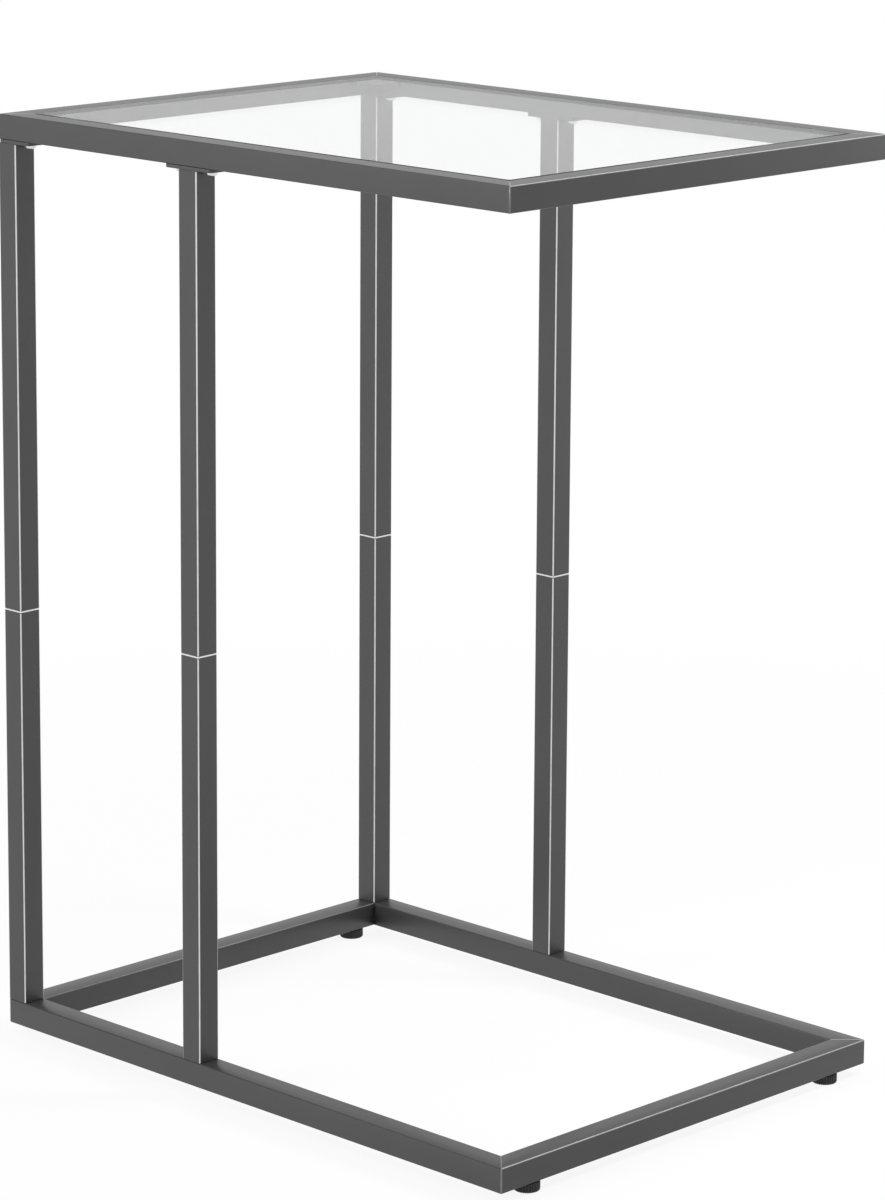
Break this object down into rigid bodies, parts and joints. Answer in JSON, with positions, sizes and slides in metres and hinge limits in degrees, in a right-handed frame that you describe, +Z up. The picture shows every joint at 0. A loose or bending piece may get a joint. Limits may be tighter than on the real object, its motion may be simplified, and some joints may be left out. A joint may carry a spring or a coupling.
{
  "type": "c shaped side table",
  "caption": "C shaped side table: square steel tube base and top frames joined at one end by uprights, with a clear glass top, open towards a sofa or bed.",
  "frame": {"origin": "on the floor under the middle of the table's box", "axes": "+X from the uprights to the open end, +Y from the near arm to the far arm, +Z up"},
  "size_m": [0.5, 0.376, 0.678],
  "materials": {
    "frame_paint": "satin powder coat, gunmetal grey",
    "glass": "clear, polished",
    "bumper": "clear soft plastic",
    "zinc": "bright zinc plate",
    "foot_black": "moulded, matt"
  },
  "bodies": {
    "table": {"base_bolts": "zinc", "base_plugs": "zinc", "base_rail_back": "frame_paint", "base_rail_far": "frame_paint", "base_rail_near": "frame_paint", "base_rail_open": "frame_paint", "base_washers": "zinc", "foot_inserts": "zinc", "glass_bumpers": "bumper", "glass_gusset_far_back": "frame_paint", "glass_gusset_far_open": "frame_paint", "glass_gusset_near_back": "frame_paint", "glass_gusset_near_open": "frame_paint", "lower_plugs": "zinc", "lower_tube_far_corner": "frame_paint", "lower_tube_far_mid": "frame_paint", "lower_tube_near_corner": "frame_paint", "lower_tube_near_mid": "frame_paint", "plate_screws": "zinc", "seam_studs": "zinc", "top_plate_far_corner": "frame_paint", "top_plate_far_mid": "frame_paint", "top_plate_near_corner": "frame_paint", "top_plate_near_mid": "frame_paint", "top_rail_back": "frame_paint", "top_rail_far": "frame_paint", "top_rail_near": "frame_paint", "top_rail_open": "frame_paint", "upper_plugs": "zinc", "upper_tube_far_corner": "frame_paint", "upper_tube_far_mid": "frame_paint", "upper_tube_near_corner": "frame_paint", "upper_tube_near_mid": "frame_paint"},
    "glass": {"glass_pane": "glass"},
    "near_back_stud": {"foot_stud_near_back": "zinc"},
    "near_back_pad": {"foot_pad_near_back": "foot_black"},
    "near_open_stud": {"foot_stud_near_open": "zinc"},
    "near_open_pad": {"foot_pad_near_open": "foot_black"},
    "far_back_stud": {"foot_stud_far_back": "zinc"},
    "far_back_pad": {"foot_pad_far_back": "foot_black"},
    "far_open_stud": {"foot_stud_far_open": "zinc"},
    "far_open_pad": {"foot_pad_far_open": "foot_black"}
  },
  "joints": [
    {"name": "glass_lift", "type": "slide", "parent": "table", "child": "glass", "axis": [0, 0, 1], "range_m": [0, 0.04]},
    {"name": "near_back_foot_drop", "type": "slide", "parent": "table", "child": "near_back_stud", "axis": [0, 0, 1], "range_m": [-0.008, 0]},
    {"name": "near_back_foot_turn", "type": "hinge", "parent": "near_back_stud", "child": "near_back_pad", "pos_m": [-0.241, -0.154, 0], "axis": [0, 0, 1], "range_deg": [-2880.5, 0]},
    {"name": "near_open_foot_drop", "type": "slide", "parent": "table", "child": "near_open_stud", "axis": [0, 0, 1], "range_m": [-0.008, 0]},
    {"name": "near_open_foot_turn", "type": "hinge", "parent": "near_open_stud", "child": "near_open_pad", "pos_m": [0.241, -0.154, 0], "axis": [0, 0, 1], "range_deg": [-2880.5, 0]},
    {"name": "far_back_foot_drop", "type": "slide", "parent": "table", "child": "far_back_stud", "axis": [0, 0, 1], "range_m": [-0.008, 0]},
    {"name": "far_back_foot_turn", "type": "hinge", "parent": "far_back_stud", "child": "far_back_pad", "pos_m": [-0.241, 0.154, 0], "axis": [0, 0, 1], "range_deg": [-2880.5, 0]},
    {"name": "far_open_foot_drop", "type": "slide", "parent": "table", "child": "far_open_stud", "axis": [0, 0, 1], "range_m": [-0.008, 0]},
    {"name": "far_open_foot_turn", "type": "hinge", "parent": "far_open_stud", "child": "far_open_pad", "pos_m": [0.241, 0.154, 0], "axis": [0, 0, 1], "range_deg": [-2880.5, 0]}
  ],
  "couplings": [
    {"joint": "near_back_foot_turn", "follows": "near_back_foot_drop", "rad_per_m": 6283.2},
    {"joint": "near_open_foot_turn", "follows": "near_open_foot_drop", "rad_per_m": 6283.2},
    {"joint": "far_back_foot_turn", "follows": "far_back_foot_drop", "rad_per_m": 6283.2},
    {"joint": "far_open_foot_turn", "follows": "far_open_foot_drop", "rad_per_m": 6283.2}
  ]
}
